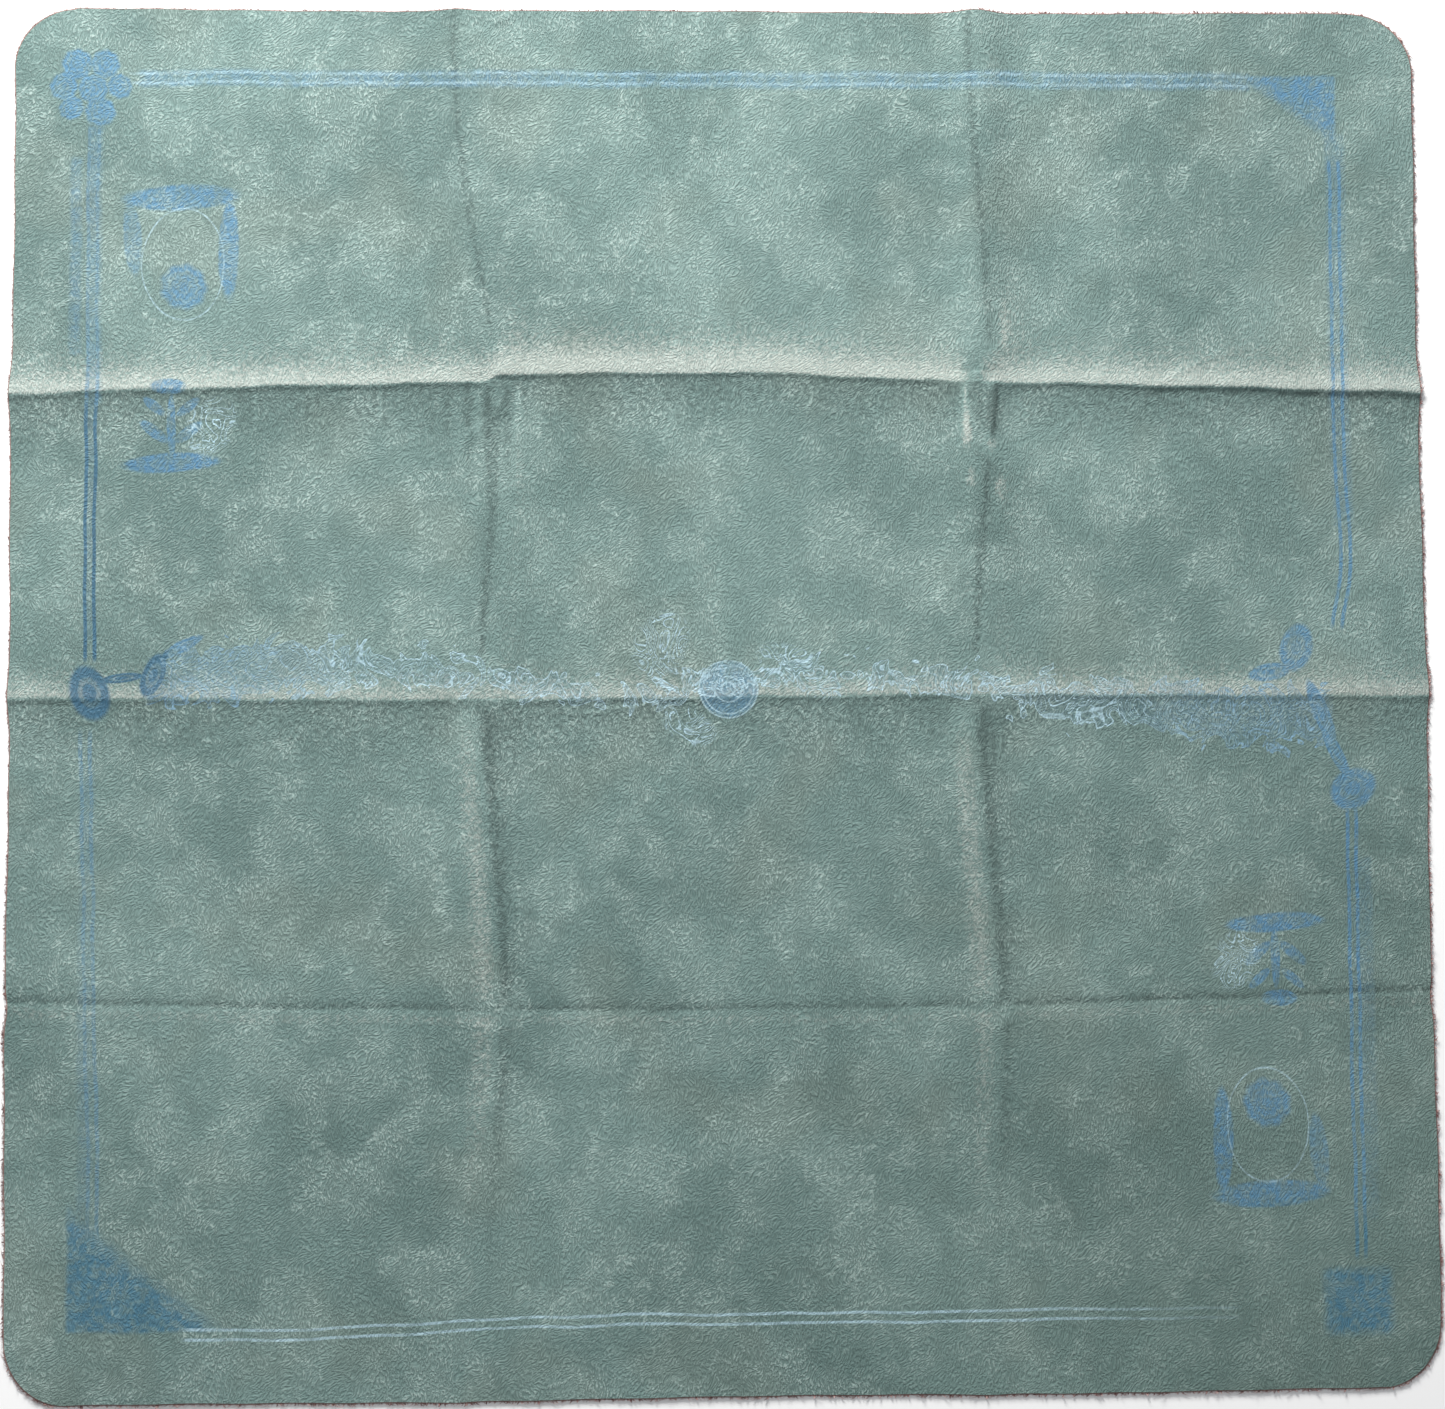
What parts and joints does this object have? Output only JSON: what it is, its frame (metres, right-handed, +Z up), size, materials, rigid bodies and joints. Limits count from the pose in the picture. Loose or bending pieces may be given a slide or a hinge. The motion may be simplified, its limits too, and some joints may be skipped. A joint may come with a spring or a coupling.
{
  "type": "folding game mat",
  "caption": "Soft rectangular tabletop mat with rounded corners, printed facing bonded to brushed backing, folding flat into a packet on crosswise and lengthwise crease lines.",
  "frame": {"origin": "centre of the mat's outline at the underside of the backing, where it lies on the table", "axes": "+X across the printed face to its right edge (the long side), +Y to its top edge, +Z up through the thickness"},
  "size_m": [0.5, 0.49, 0.0007],
  "materials": {
    "facing": "embossed faux suede, faded printed border, low sheen",
    "backing": "brushed tricot backing with a raw cut lint edge"
  },
  "bodies": {
    "top_left": {"backing_top_left": "backing", "facing_top_left": "facing"},
    "top_centre": {"backing_top_centre": "backing", "facing_top_centre": "facing"},
    "top_right": {"backing_top_right": "backing", "facing_top_right": "facing"},
    "upper_left": {"backing_upper_left": "backing", "facing_upper_left": "facing"},
    "upper_centre": {"backing_upper_centre": "backing", "facing_upper_centre": "facing"},
    "upper_right": {"backing_upper_right": "backing", "facing_upper_right": "facing"},
    "lower_left": {"backing_lower_left": "backing", "facing_lower_left": "facing"},
    "lower_centre": {"backing_lower_centre": "backing", "facing_lower_centre": "facing"},
    "lower_right": {"backing_lower_right": "backing", "facing_lower_right": "facing"},
    "bottom_left": {"backing_bottom_left": "backing", "facing_bottom_left": "facing"},
    "bottom_centre": {"backing_bottom_centre": "backing", "facing_bottom_centre": "facing"},
    "bottom_right": {"backing_bottom_right": "backing", "facing_bottom_right": "facing"}
  },
  "joints": [
    {"name": "top_fold", "type": "hinge", "parent": "upper_centre", "child": "top_centre", "pos_m": [0.0055, 0.113, -0.00077], "axis": [-1, 0, 0], "range_deg": [0, 180]},
    {"name": "top_fold_left", "type": "hinge", "parent": "upper_left", "child": "top_left", "pos_m": [-0.166, 0.113, -0.00077], "axis": [-1, 0, 0], "range_deg": [0, 180]},
    {"name": "top_fold_right", "type": "hinge", "parent": "upper_right", "child": "top_right", "pos_m": [0.1715, 0.113, -0.00077], "axis": [-1, 0, 0], "range_deg": [0, 180]},
    {"name": "middle_fold", "type": "hinge", "parent": "upper_centre", "child": "lower_centre", "pos_m": [0.0055, 0, -0.00003], "axis": [1, 0, 0], "range_deg": [0, 180]},
    {"name": "middle_fold_left", "type": "hinge", "parent": "upper_left", "child": "lower_left", "pos_m": [-0.166, 0, -0.00003], "axis": [1, 0, 0], "range_deg": [0, 180]},
    {"name": "middle_fold_right", "type": "hinge", "parent": "upper_right", "child": "lower_right", "pos_m": [0.1715, 0, -0.00003], "axis": [1, 0, 0], "range_deg": [0, 180]},
    {"name": "bottom_fold", "type": "hinge", "parent": "lower_centre", "child": "bottom_centre", "pos_m": [0.0055, -0.109, 0.00072], "axis": [-1, 0, 0], "range_deg": [0, 180]},
    {"name": "bottom_fold_left", "type": "hinge", "parent": "lower_left", "child": "bottom_left", "pos_m": [-0.166, -0.109, 0.00072], "axis": [-1, 0, 0], "range_deg": [0, 180]},
    {"name": "bottom_fold_right", "type": "hinge", "parent": "lower_right", "child": "bottom_right", "pos_m": [0.1715, -0.109, 0.00072], "axis": [-1, 0, 0], "range_deg": [0, 180]},
    {"name": "left_fold", "type": "hinge", "parent": "upper_centre", "child": "upper_left", "pos_m": [-0.082, 0.0565, 0.0015], "axis": [0, 1, 0], "range_deg": [0, 180]},
    {"name": "right_fold", "type": "hinge", "parent": "upper_centre", "child": "upper_right", "pos_m": [0.093, 0.0565, 0.00337], "axis": [0, -1, 0], "range_deg": [0, 180]}
  ],
  "couplings": [
    {"joint": "top_fold_left", "follows": "top_fold", "ratio": 1},
    {"joint": "top_fold_right", "follows": "top_fold", "ratio": 1},
    {"joint": "middle_fold_left", "follows": "middle_fold", "ratio": 1},
    {"joint": "middle_fold_right", "follows": "middle_fold", "ratio": 1},
    {"joint": "bottom_fold_left", "follows": "bottom_fold", "ratio": 1},
    {"joint": "bottom_fold_right", "follows": "bottom_fold", "ratio": 1}
  ]
}
